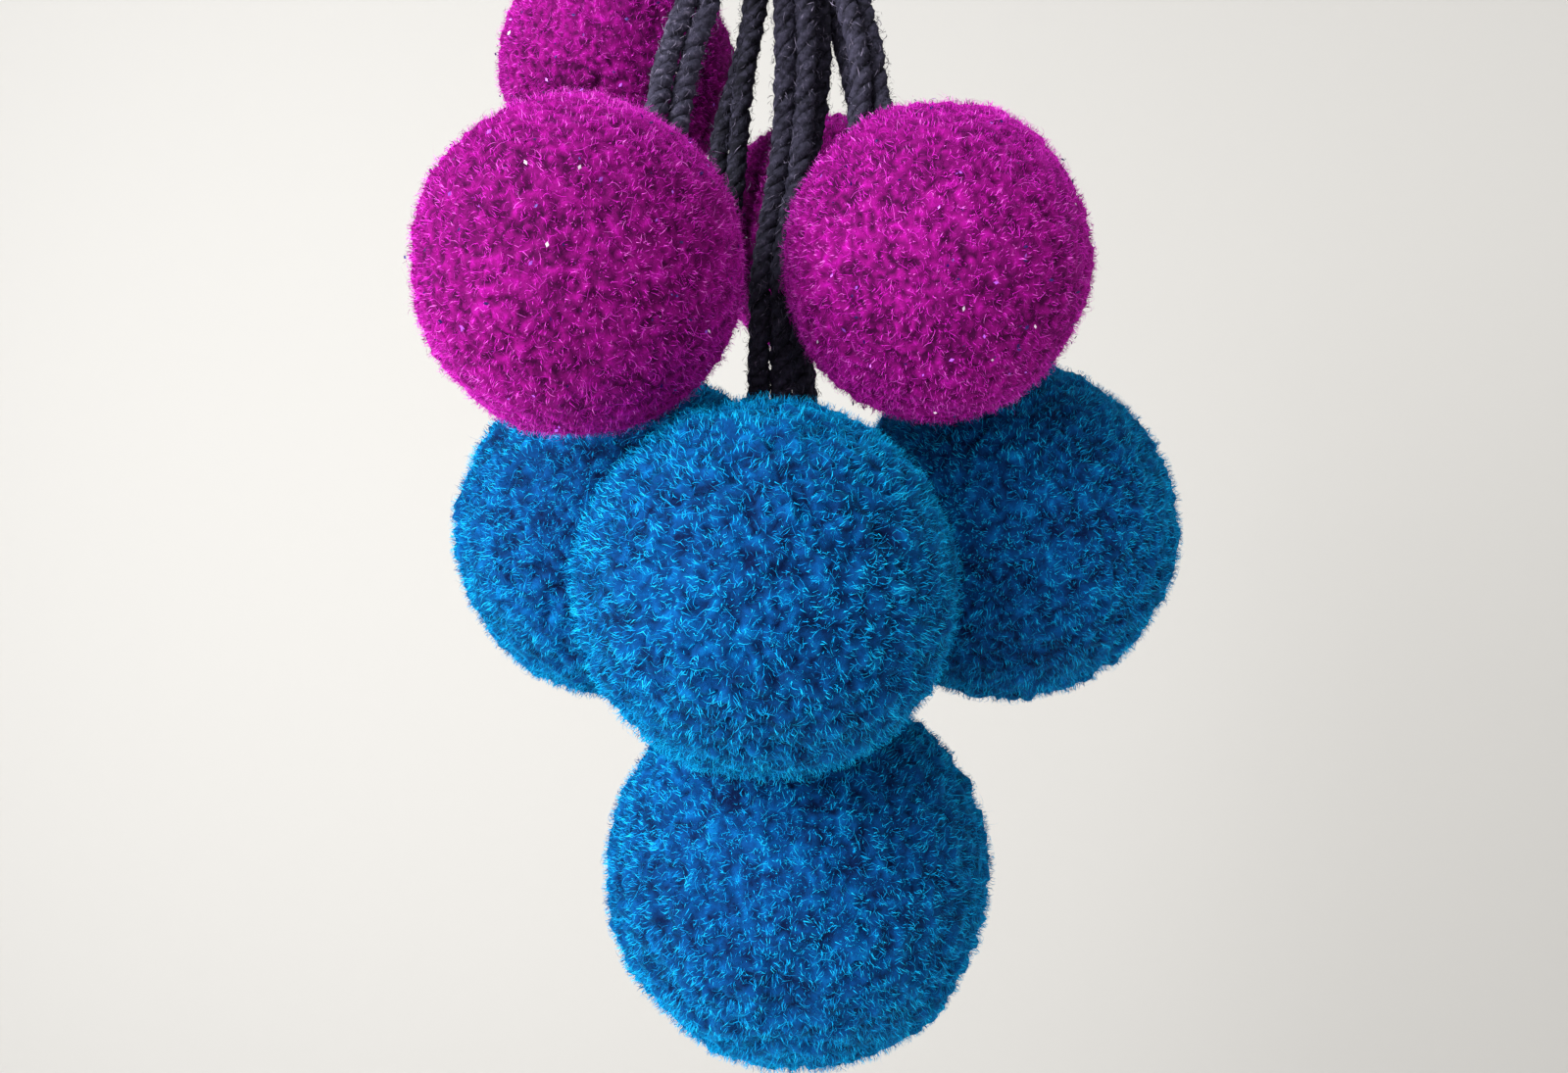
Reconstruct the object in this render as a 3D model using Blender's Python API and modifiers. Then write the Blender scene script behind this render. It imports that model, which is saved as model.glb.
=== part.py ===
"""Door hanger of eight wool pompoms on twisted black cords, gathered under a hanging loop.

The origin is the inner top of the loop, where a door handle carries it. +Z is up, -Y is the front,
and +X is to the viewer's right. The tables are in millimetres, and MM turns them into metres.
"""

import math
from collections import namedtuple

import bmesh
import bpy
from mathutils import Vector, noise

MM = 0.001
GAP = 0.3 * MM

# Pompoms
PILE_WAVE = 1.5 * MM
PILE_WAVE_LENGTH = 16 * MM
TUFT_RELIEF = 0.9 * MM
TUFT_LENGTH = 5 * MM
LOCK_RISE = 1.6 * MM
LOCK_LEAN = 1.2 * MM
LOCKS_EACH = 36
LEAN_DETAIL = 9
GRID_PITCH = 6.6 * MM
SEED_STEP = 7.3
NOISE_SEED = 7
SEAT_DEPTH = 0.055

# Cords
CORD_WIDTH = 4.4 * MM
LOOP_CORD_WIDTH = 5.2 * MM
RING_PITCH = 3.1 * MM
END_LEAD = 4.6 * MM
TWIST_STEP = math.radians(45)
FINE_STEPS = 24

# Gather wrap, wound round all the cords
WRAP_TOP = -66 * MM
WRAP_BOTTOM = -84 * MM
WRAP_RADIUS = 12.3 * MM
WRAP_TURNS = 6
WRAP_RIDGE = 0.9 * MM
WRAP_SIDES = 18
SHOULDER = 2.2 * MM

# Hanging loop
LOOP_HALF_WIDTH = 15 * MM
LOOP_FOOT_APART = 6.8 * MM
# Its side from foot to crown, as shares of the half width and of the drop from the inner top
LOOP_SIDE = ((0.45, 0.68), (0.86, 0.42), (1.00, 0.23), (0.72, 0.06))

Pompom = namedtuple("Pompom", "name wool x y z radius tall seat_x seat_y seat_z")
POMPOMS = (
    Pompom("magenta_upper_left", "magenta_wool", -44.5, 28.1, -143.5, 31.0, 1.00, 0.56, -0.32, 0.77),
    Pompom("magenta_middle", "magenta_wool", 9.5, 33.6, -184.8, 32.5, 1.00, -0.12, -0.20, 0.97),
    Pompom("magenta_front_left", "magenta_wool", -41.3, -52.1, -210.5, 32.9, 1.02, 0.42, 0.33, 0.85),
    Pompom("magenta_front_right", "magenta_wool", 28.9, -38.5, -206.8, 32.4, 1.03, -0.33, 0.40, 0.86),
    Pompom("blue_back_left", "blue_wool", -41.5, 23.2, -260.4, 43.1, 1.00, 0.34, -0.12, 0.93),
    Pompom("blue_back_right", "blue_wool", 52.6, 18.7, -260.4, 42.5, 1.00, -0.45, -0.16, 0.88),
    Pompom("blue_front", "blue_wool", -5.6, -48.9, -271.9, 38.2, 0.99, 0.02, 0.42, 0.91),
    Pompom("blue_bottom", "blue_wool", 1.2, 0.0, -339.1, 45.2, 1.00, 0.04, 0.03, 1.00),
)

# Each row is a place on the middle line of a pair of cords. turn is the angle from one cord of the
# pair to the other, in degrees from +X towards +Y, and apart is the distance between their centres.
Place = namedtuple("Place", "x y z turn apart")
ROUTES = {
    "magenta_upper_left": (
        Place(-5.9, 6.1, -84.3, 60, 4.75),
        Place(-8.0, 8.2, -94.0, 55, 5.0),
        Place(-17.5, 13.6, -105.0, 45, 5.0),
    ),
    "magenta_middle": (
        Place(0.0, 4.1, -84.3, 0, 4.75),
        Place(0.6, 5.5, -98.0, 10, 5.0),
        Place(2.5, 12.0, -122.0, 40, 5.1),
        Place(5.0, 20.0, -140.0, 55, 5.1),
    ),
    "magenta_front_left": (
        Place(-5.9, -6.1, -84.3, -60, 4.75),
        Place(-9.5, -9.0, -105.0, -30, 5.1),
        Place(-16.6, -16.5, -132.0, 0, 4.9),
        Place(-20.8, -22.0, -147.0, 15, 4.9),
        Place(-24.4, -30.0, -163.0, 20, 5.0),
    ),
    "magenta_front_right": (
        Place(5.9, -6.1, -84.3, 60, 4.75),
        Place(8.2, -7.0, -105.0, 50, 5.0),
        Place(12.2, -10.5, -134.0, 34, 4.9),
        Place(16.0, -17.0, -155.0, 42, 5.0),
        Place(16.8, -21.0, -166.0, 34, 5.0),
        Place(17.3, -23.3, -172.0, 8, 6.4),
    ),
    "blue_back_left": (
        Place(-7.1, 0.0, -84.3, 0, 4.75),
        Place(-7.6, 4.1, -108.0, -45, 5.1),
        Place(-9.0, 10.5, -133.0, -70, 5.0),
        Place(-12.2, 10.2, -150.0, -65, 5.2),
        Place(-14.9, 7.8, -165.0, -30, 5.1),
        Place(-16.4, 6.2, -182.0, -28, 5.2),
        Place(-22.0, 10.5, -206.0, -20, 5.1),
    ),
    "blue_back_right": (
        Place(7.1, 0.0, -84.3, 0, 4.75),
        Place(9.2, 4.2, -110.0, 40, 5.1),
        Place(10.6, 6.6, -136.0, 75, 5.1),
        Place(14.8, 2.0, -157.0, 80, 5.2),
        Place(20.5, -4.0, -182.0, 25, 4.9),
        Place(28.0, 2.0, -206.0, 5, 5.3),
    ),
    "blue_front": (
        Place(-1.2, -6.1, -84.3, -60, 4.75),
        Place(-0.9, -6.8, -115.0, -30, 5.0),
        Place(0.6, -8.5, -150.0, 0, 4.8),
        Place(-0.6, -14.0, -178.0, -25, 5.0),
        Place(-4.4, -20.5, -202.0, -26, 4.9),
        Place(-4.9, -28.5, -226.0, -22, 5.1),
    ),
    "blue_bottom": (
        Place(1.2, -2.05, -84.3, -60, 4.75),
        Place(2.4, -1.2, -115.0, -25, 5.0),
        Place(4.4, -0.4, -146.0, 10, 4.9),
        Place(2.6, -4.0, -170.0, 25, 4.9),
        Place(-0.4, -6.6, -197.0, 50, 4.9),
        Place(2.6, -1.0, -226.0, 75, 4.9),
        Place(4.8, 2.0, -258.0, 35, 4.9),
        Place(3.6, 1.6, -283.0, 0, 4.9),
    ),
}

Wool = namedtuple("Wool", "colour roughness sheen")
WOOLS = {
    "blue_wool": Wool((0.000, 0.150, 0.480, 1.0), 0.95, 0.4),
    "magenta_wool": Wool((0.440, 0.007, 0.300, 1.0), 0.95, 0.4),
    "black_cord": Wool((0.017, 0.017, 0.026, 1.0), 0.85, 0.3),
}


def empty_scene():
    for thing in list(bpy.data.objects):
        bpy.data.objects.remove(thing)


def make_collection(name):
    made = bpy.data.collections.new(name)
    bpy.context.scene.collection.children.link(made)
    return made


def make_material(name):
    wool = WOOLS[name]
    made = bpy.data.materials.new(name)
    made.use_nodes = True
    shader = made.node_tree.nodes["Principled BSDF"]
    shader.inputs["Base Color"].default_value = wool.colour
    shader.inputs["Roughness"].default_value = wool.roughness
    shader.inputs["Metallic"].default_value = 0.0
    shader.inputs["Sheen Weight"].default_value = wool.sheen
    made.diffuse_color = wool.colour
    return made


def centre_of(pompom):
    return Vector((pompom.x, pompom.y, pompom.z)) * MM


def seat_of(pompom):
    """The way from the pompom's centre to where its cords go in."""
    return Vector((pompom.seat_x, pompom.seat_y, pompom.seat_z)).normalized()


def seat_height(pompom):
    return pompom.radius * MM * (1 - SEAT_DEPTH)


def flats_of(pompom):
    """Planes that stop the pile, as (outward normal, distance): the cords' seat and the neighbours."""
    flats = [(seat_of(pompom), seat_height(pompom))]
    here = centre_of(pompom)
    reach = 2 * (PILE_WAVE + TUFT_RELIEF + LOCK_RISE)
    for other in POMPOMS:
        way = centre_of(other) - here
        room = way.length - (pompom.radius + other.radius) * MM
        if other is not pompom and room < reach:
            flats.append((way.normalized(), pompom.radius * MM + room / 2 - GAP / 2))
    return flats


def even_directions(count):
    """Directions spread evenly over a ball, along a golden spiral."""
    golden = math.pi * (3 - math.sqrt(5))
    for i in range(count):
        z = 1 - (2 * i + 1) / count
        flat = math.sqrt(1 - z * z)
        yield Vector((flat * math.cos(golden * i), flat * math.sin(golden * i), z))


def ball_cage(radius):
    """A cube gridded and swelled to a unit ball, with a lock's tip in the middle of some faces."""
    cage = bmesh.new()
    bmesh.ops.create_cube(cage, size=2)
    cuts = round(radius * math.pi / 2 / GRID_PITCH) - 1
    bmesh.ops.subdivide_edges(cage, edges=cage.edges[:], cuts=cuts, use_grid_fill=True)
    for vert in cage.verts:
        vert.co = Vector([math.tan(math.pi / 4 * c) for c in vert.co]).normalized()
    cage.faces.ensure_lookup_table()
    middles = [face.calc_center_median().normalized() for face in cage.faces]
    chosen = {
        max(range(len(middles)), key=lambda k: middles[k].dot(way))
        for way in even_directions(LOCKS_EACH)
    }
    tips = bmesh.ops.poke(cage, faces=[cage.faces[k] for k in chosen])["verts"]
    return cage, set(tips)


def pile_height(way, radius, seed):
    """How far the clipped pile stands above or below the round radius."""
    wave = noise.noise(way * (radius / PILE_WAVE_LENGTH) + Vector((seed, 0, 0)))
    tuft = noise.cell(way * (radius / TUFT_LENGTH) + Vector((0, seed, 0)))
    return PILE_WAVE * wave + TUFT_RELIEF * (2 * tuft - 1)


def make_pompom(pompom, seed, material, collection):
    radius = pompom.radius * MM
    flats = flats_of(pompom)
    cage, tips = ball_cage(radius)
    for vert in cage.verts:
        way = vert.co.normalized()
        reach = radius + pile_height(way, radius, SEED_STEP * seed)
        place = Vector((way.x * reach, way.y * reach, way.z * reach * pompom.tall))
        if vert in tips:
            lean = noise.noise_vector(way * LEAN_DETAIL + Vector((0, 0, seed)))
            place += way * LOCK_RISE + lean * LOCK_LEAN
        for normal, distance in flats:
            ahead = place.dot(normal)
            if ahead > distance:
                place *= distance / ahead
        vert.co = place
    mesh = bpy.data.meshes.new("pompom_" + pompom.name)
    cage.to_mesh(mesh)
    cage.free()
    mesh.materials.append(material)
    mesh.shade_smooth()
    made = bpy.data.objects.new("pompom_" + pompom.name, mesh)
    made.location = centre_of(pompom)
    collection.objects.link(made)
    return made


def smooth_line(stops, pitch):
    """Evenly spaced points on a Catmull-Rom curve through the stops, straight in its end runs."""
    padded = [2 * stops[0] - stops[1], *stops, 2 * stops[-1] - stops[-2]]
    fine = []
    for a, b, c, d in zip(padded, padded[1:], padded[2:], padded[3:]):
        straight = b is stops[0] or c is stops[-1]
        for k in range(FINE_STEPS):
            t = k / FINE_STEPS
            bend = (c - a) * t + (2 * a - 5 * b + 4 * c - d) * t**2 + (3 * b - a - 3 * c + d) * t**3
            fine.append(b.lerp(c, t) if straight else b + bend / 2)
    fine.append(stops[-1].copy())
    along = [0.0]
    for a, b in zip(fine, fine[1:]):
        along.append(along[-1] + (b - a).length)
    steps = max(2, round(along[-1] / pitch))
    line = []
    k = 0
    for i in range(steps + 1):
        want = along[-1] * i / steps
        while k < len(along) - 2 and along[k + 1] < want:
            k += 1
        share = (want - along[k]) / (along[k + 1] - along[k])
        line.append(fine[k].lerp(fine[k + 1], min(1.0, share)))
    return line


def make_cord(name, stops, width, material, collection):
    """A plied cord: a four-sided tube whose section turns a step at each ring."""
    line = smooth_line(stops, RING_PITCH)
    curve = bpy.data.curves.new(name, "CURVE")
    curve.dimensions = "3D"
    curve.twist_mode = "MINIMUM"
    curve.bevel_depth = width / 2
    curve.bevel_resolution = 0
    curve.use_fill_caps = True
    spline = curve.splines.new("POLY")
    spline.points.add(len(line) - 1)
    for i, (point, place) in enumerate(zip(spline.points, line)):
        point.co = (*place, 1.0)
        point.tilt = TWIST_STEP * i
    curve.materials.append(material)
    made = bpy.data.objects.new(name, curve)
    collection.objects.link(made)
    return made


def cord_stops(pompom, side):
    """The stops of one cord of a pair, from the wrap to just above its pompom's seat."""
    stops = []
    for place in ROUTES[pompom.name]:
        angle = math.radians(place.turn)
        aside = Vector((math.cos(angle), math.sin(angle), 0)) * (side * place.apart / 2)
        stops.append((Vector((place.x, place.y, place.z)) + aside) * MM)
    stops.insert(1, stops[0] - Vector((0, 0, END_LEAD)))
    seat = seat_of(pompom)
    last = ROUTES[pompom.name][-1]
    angle = math.radians(last.turn)
    across = Vector((math.cos(angle), math.sin(angle), 0))
    across = (across - seat * across.dot(seat)).normalized() * (side * last.apart / 2 * MM)
    foot = centre_of(pompom) + seat * (seat_height(pompom) + GAP) + across
    stops.append(foot + seat * END_LEAD)
    stops.append(foot)
    return stops


def make_wrap(material, collection):
    """The turns of cord that bind the bunch, as a ridged and shouldered barrel."""
    pitch = (WRAP_TOP - WRAP_BOTTOM - SHOULDER) / WRAP_TURNS
    outline = [(0.0, WRAP_TOP), (WRAP_RADIUS - SHOULDER, WRAP_TOP)]
    for turn in range(WRAP_TURNS):
        top = WRAP_TOP - SHOULDER / 2 - turn * pitch
        outline.append((WRAP_RADIUS - WRAP_RIDGE, top))
        outline.append((WRAP_RADIUS, top - pitch / 2))
    outline.append((WRAP_RADIUS - WRAP_RIDGE, WRAP_BOTTOM + SHOULDER / 2))
    outline.append((WRAP_RADIUS - SHOULDER / 2, WRAP_BOTTOM))
    outline.append((0.0, WRAP_BOTTOM))
    mesh = bpy.data.meshes.new("gather_wrap")
    points = [(out, 0.0, z) for out, z in outline]
    mesh.from_pydata(points, [(i, i + 1) for i in range(len(points) - 1)], [])
    mesh.materials.append(material)
    made = bpy.data.objects.new("gather_wrap", mesh)
    collection.objects.link(made)
    screw = made.modifiers.new("Turned", "SCREW")
    screw.steps = WRAP_SIDES
    screw.render_steps = WRAP_SIDES
    screw.use_merge_vertices = True
    screw.merge_threshold = 0.00001
    screw.use_smooth_shade = True
    return made


def loop_stops():
    """Half of the loop's middle line from the wrap's top, then its mirror image."""
    foot = WRAP_TOP + GAP
    crown = LOOP_CORD_WIDTH / 2
    wide = LOOP_HALF_WIDTH + LOOP_CORD_WIDTH / 2
    half = [
        Vector((-LOOP_FOOT_APART / 2, 0, foot)),
        Vector((-LOOP_FOOT_APART / 2, 0, foot + END_LEAD)),
        *(Vector((-out * wide, 0, down * foot)) for out, down in LOOP_SIDE),
    ]
    mirrored = [Vector((-stop.x, stop.y, stop.z)) for stop in reversed(half)]
    return [*half, Vector((0, 0, crown)), *mirrored]


def main():
    noise.seed_set(NOISE_SEED)
    empty_scene()
    parts = make_collection("pompom_door_hanger")
    materials = {name: make_material(name) for name in WOOLS}
    for seed, pompom in enumerate(POMPOMS, 1):
        make_pompom(pompom, seed, materials[pompom.wool], parts)
        for side, hand in ((-1, "a"), (1, "b")):
            name = "cord_" + pompom.name + "_" + hand
            make_cord(name, cord_stops(pompom, side), CORD_WIDTH, materials["black_cord"], parts)
    make_wrap(materials["black_cord"], parts)
    make_cord("hanging_loop", loop_stops(), LOOP_CORD_WIDTH, materials["black_cord"], parts)


main()
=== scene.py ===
"""Looks of the pompom door hanger: clipped wool balls, plied cords, their binding and the loop."""

import math
from collections import namedtuple

import bmesh
import bpy
import numpy as np
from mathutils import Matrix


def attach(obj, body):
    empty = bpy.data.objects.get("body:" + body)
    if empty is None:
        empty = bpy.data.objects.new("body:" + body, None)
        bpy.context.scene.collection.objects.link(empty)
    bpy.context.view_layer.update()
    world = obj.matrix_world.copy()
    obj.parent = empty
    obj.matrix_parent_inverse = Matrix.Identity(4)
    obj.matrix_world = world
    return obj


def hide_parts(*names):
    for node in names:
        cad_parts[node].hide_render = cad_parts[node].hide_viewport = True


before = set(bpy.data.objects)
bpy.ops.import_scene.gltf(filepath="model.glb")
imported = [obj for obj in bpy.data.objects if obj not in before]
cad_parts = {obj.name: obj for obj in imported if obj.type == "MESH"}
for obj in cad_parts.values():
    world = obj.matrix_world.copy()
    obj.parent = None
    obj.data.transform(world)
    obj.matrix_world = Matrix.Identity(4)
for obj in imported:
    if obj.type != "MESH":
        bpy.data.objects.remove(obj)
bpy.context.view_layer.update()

MM = 0.001

# Packed pile of the pompoms: its depth under the outline, the painted shade that makes it darker than
# the fibres on it, and the slow waves and patches of its surface
PILE_DEPTH = 1.7 * MM
BASE_PAINTED_SHADE = 0.34
WAVE_RISE = 0.7 * MM
WAVE_LENGTH = 15 * MM
PATCH_LENGTH = 0.4 * WAVE_LENGTH
BALL_SUBDIVISIONS = 6
# Ways that are matched to their tufts at a time, so that this takes little memory
WAYS_AT_ONCE = 4096

# Dent where the cords go in, and the neighbours near enough to press the pile flat
SEAT_DIMPLE = 2.6 * MM
SEAT_WIDTH = 6.5 * MM
SEAT_DEPTH = 0.055
FLAT_ROOM = 4 * MM
FLAT_GAP = 0.3 * MM

# Tufts: a tuft's area as a share of its spacing squared, how far its place is nudged, how its tone,
# rise and lean vary, and in spacings the size and depth of its border's wander and its width
TUFT_AREA = 0.85
TUFT_JITTER = 0.42
TUFT_TONES = (2.0, 2.0)
TUFT_RISE = 0.5
TUFT_LEAN = (0.2, 1.0)
WANDER_SIZE = 0.9
WANDER_DEPTH = 0.45
BORDER_WIDTH = 0.7

# How much a tuft's middle, its own tone, the patches and the waves make the wool paler. The middle's
# and the waves' share are painted shade: darker in the crevices between tufts and in the waves' hollows
CREVICE_PAINTED_SHADE = 0.32
TONE_TUFT = 0.18
TONE_PATCH = 0.06
WAVE_PAINTED_SHADE = 0.04

# Each wool: the spacing and relief of its cut yarn ends, its fibres' and curls' number for each
# square millimetre, its fibres' length and width, and its mean tone
Wool = namedtuple("Wool", "spacing relief fibres curls length width tone")
WOOLS = {
    "blue_wool": Wool(2.9 * MM, 1.10 * MM, 1.45, 0.17, (1.5 * MM, 2.9 * MM), 0.17 * MM, 0.24),
    "magenta_wool": Wool(1.7 * MM, 0.60 * MM, 1.75, 0.28, (1.1 * MM, 2.1 * MM), 0.15 * MM, 0.23),
}

# Each half of a fibre heads straight out, along its tuft's lean and aside, in these shares. The
# upper half also keeps some of the lower one's way, and its tip is gathered towards its tuft.
Heading = namedtuple("Heading", "outward lean aside")
FIBRE_LOWER = Heading((0.5, 1.3), 0.3, 0.45)
FIBRE_UPPER = Heading((0.0, 0.7), 0.3, 0.6)
FIBRE_KEPT = 0.55
FIBRE_GATHER = (0.1, 0.6)
FIBRE_JITTER = 0.6
FIBRE_ROOT = 0.5 * MM
FIBRE_WIDTHS = (0.6, 1.25)
FIBRE_ROLL = 0.8
TIP_LIMIT = 0.6 * MM

# Tone of a fibre's root, middle and tip against the pile's, with painted shade at the root and painted
# light at the tip, its own spread, the few paler fibres, and how much paler it gets for each millimetre
# that it stands above TONE_LEVEL under the outline, as painted shade on the fibres that stand low
FIBRE_ROOT_SHADE_TIP_LIGHT = (-0.36, 0.0, 0.44)
FIBRE_SPREAD = 0.11
PALE_SHARE = 0.12
PALE_LIFT = 0.22
HEIGHT_PAINTED_SHADE = 0.14
TONE_LEVEL = 1.2

# How far fibres are shaded as the ball under them, and curls and hairs
FIBRE_SHADE = 0.6
CURL_SHADE = 0.5

# Curls: their length in fibre lengths, their way, how they bend, their height and their tone
CURL_STOPS = 4
CURL_LENGTH = 1.2
CURL_WIDTH = 0.09 * MM
CURL_WIDTHS = (0.7, 1.3)
CURL_JITTER = 0.9
CURL_LEAN = 0.5
CURL_OUTWARD = (0.2, 0.9)
CURL_VEER = 0.55
CURL_SINK = 0.32
CURL_HEIGHT = 0.7 * MM
CURL_LIFT = (0.10, 0.36)
CURL_TONES = (-0.15, 0.1)

# Stray hairs
HAIRS_PER_BALL = 70
HAIR_STEPS = 4
HAIR_LENGTH = (3.0 * MM, 6.5 * MM)
HAIR_WIDTH = 0.07 * MM
HAIR_OUTWARD = (0.15, 0.8)
HAIR_WANDER = 0.55
HAIR_ROOT = 1.0 * MM
HAIR_TONES = (0.55, 0.95)
RIBBON_TAPER = 0.12

# Glitter in the magenta wool: its flakes' length, half length and half breadth as shares of that,
# half thickness, depth under the outline and tilt
FLAKES_PER_BALL = 240
FLAKE_SIZE = (0.50 * MM, 1.30 * MM)
FLAKE_HALVES = (0.5, 0.3)
FLAKE_HALF_THICKNESS = 0.03 * MM
FLAKE_DEPTH = (0.3 * MM, 1.2 * MM)
FLAKE_JITTER = 1.2
FLAKE_TILT = 0.45

# Plied cords. A ply's radius and its offset from the middle are shares of the cord's width.
CORD_WIDTH = 4.4 * MM
LOOP_CORD_WIDTH = 5.2 * MM
PLIES = 3
PLY_SHARE = 0.37
PLY_SPREAD = 0.22
LAY_TURN = 12.5 * MM
LAY_WOBBLE = 0.35
LAY_WOBBLE_LENGTH = 9 * MM
SWELL = 0.12
SWELL_LENGTH = 2.2 * MM
RING_PITCH = 0.85 * MM
CURVE_STEPS = 24
PLY_SIDES = 6
END_LEAD = 4.6 * MM
END_TUCK = 0.13
# A direction that no cord starts along
FIRST_SIDE = (0.31, 0.87, 0.38)

# Tone of a ply's groove, how much paler its crown is, and its speckle; the darker groove is painted shade
PLY_TONE = 0.06
PLY_GROOVE_SHADE = 0.38
PLY_SPECKLE = 0.24
# Painted light that makes the wool of a lit pair paler than the rest, and painted shade that makes a
# shaded pair darker where it is below 0
PAIR_LIGHT_AND_SHADE = {"magenta_front_left": 0.07, "blue_back_left": -0.13}

# Loose ends of wool on the plies. The flyaways are longer and stand off.
FUZZ_PER_MM = 22
FUZZ_LENGTH = (1.5 * MM, 3.6 * MM)
FUZZ_WIDTH = 0.17 * MM
FUZZ_WIDTHS = (0.6, 1.2)
FUZZ_REACH = 3.7 * MM
FUZZ_ROOT = 1.02
FUZZ_OUTWARD = (0.0, 0.6)
FUZZ_SCATTER = (0.4, 0.6)
FLYAWAY_SHARE = 0.09
FLYAWAY_STRETCH = 1.4
FLYAWAY_LIFT = 0.4
FUZZ_CLING = -0.25
FUZZ_TONE = 0.08
FUZZ_TONE_RANGE = 0.95
FUZZ_TONE_SKEW = (1.2, 1.6)
# Painted shade at a loose end's root and painted light at its tip
FUZZ_ROOT_SHADE_TIP_LIGHT = (-0.1, 0.0, 0.1)

# Binding: its turns of cord, and the core of gathered cords inside them
WRAP_TOP = -66 * MM
WRAP_BOTTOM = -84 * MM
WRAP_RADIUS = 12.3 * MM
WRAP_TURNS = 6
WRAP_STEPS = 24
WRAP_CORD_WIDTH = 3.0 * MM
WRAP_TAPER = 0.9 * MM
CORE_ROWS = 15
CORE_SIDES = 28
CORE_MARGIN = 0.4 * MM
CORE_SINK = 0.55
CORE_TAPER = 0.22
CORE_TONE = 0.2

# Hanging loop. LOOP_SIDE runs up its left side, each place as shares of its half width and height.
LOOP_HALF_WIDTH = 15 * MM
LOOP_FOOT_APART = 6.8 * MM
LOOP_GAP = 0.3 * MM
LOOP_TUCK = 3 * MM
LOOP_SIDE = ((0.45, 0.68), (0.86, 0.42), (1.00, 0.23), (0.72, 0.06))

# Seeds of the random draws and of the noise
PILE_SEED = 100
GLITTER_SEED = 300
CORD_SEED = 500
BINDING_SEED = 900
BINDING_NOISE = 40
LOOP_SEED = 60
WANDER_NOISE = (11, 12, 13)
PATCH_NOISE = 50
# Keeps the whole-number places that the noise reads above zero
LATTICE_SHIFT = 4096

Ball = namedtuple("Ball", "name slot x y z radius tall seat_x seat_y seat_z")
BALLS = (
    Ball("magenta_upper_left", "magenta_wool", -0.0445, 0.0281, -0.1435, 0.0310, 1.00, 0.56, -0.32, 0.77),
    Ball("magenta_middle", "magenta_wool", 0.0095, 0.0336, -0.1848, 0.0325, 1.00, -0.12, -0.20, 0.97),
    Ball("magenta_front_left", "magenta_wool", -0.0413, -0.0521, -0.2105, 0.0329, 1.02, 0.42, 0.33, 0.85),
    Ball("magenta_front_right", "magenta_wool", 0.0289, -0.0385, -0.2068, 0.0324, 1.03, -0.33, 0.40, 0.86),
    Ball("blue_back_left", "blue_wool", -0.0415, 0.0232, -0.2604, 0.0431, 1.00, 0.34, -0.12, 0.93),
    Ball("blue_back_right", "blue_wool", 0.0526, 0.0187, -0.2604, 0.0425, 1.00, -0.45, -0.16, 0.88),
    Ball("blue_front", "blue_wool", -0.0056, -0.0489, -0.2719, 0.0382, 0.99, 0.02, 0.42, 0.91),
    Ball("blue_bottom", "blue_wool", 0.0012, 0.0, -0.3391, 0.0452, 1.00, 0.04, 0.03, 1.00),
)

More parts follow.
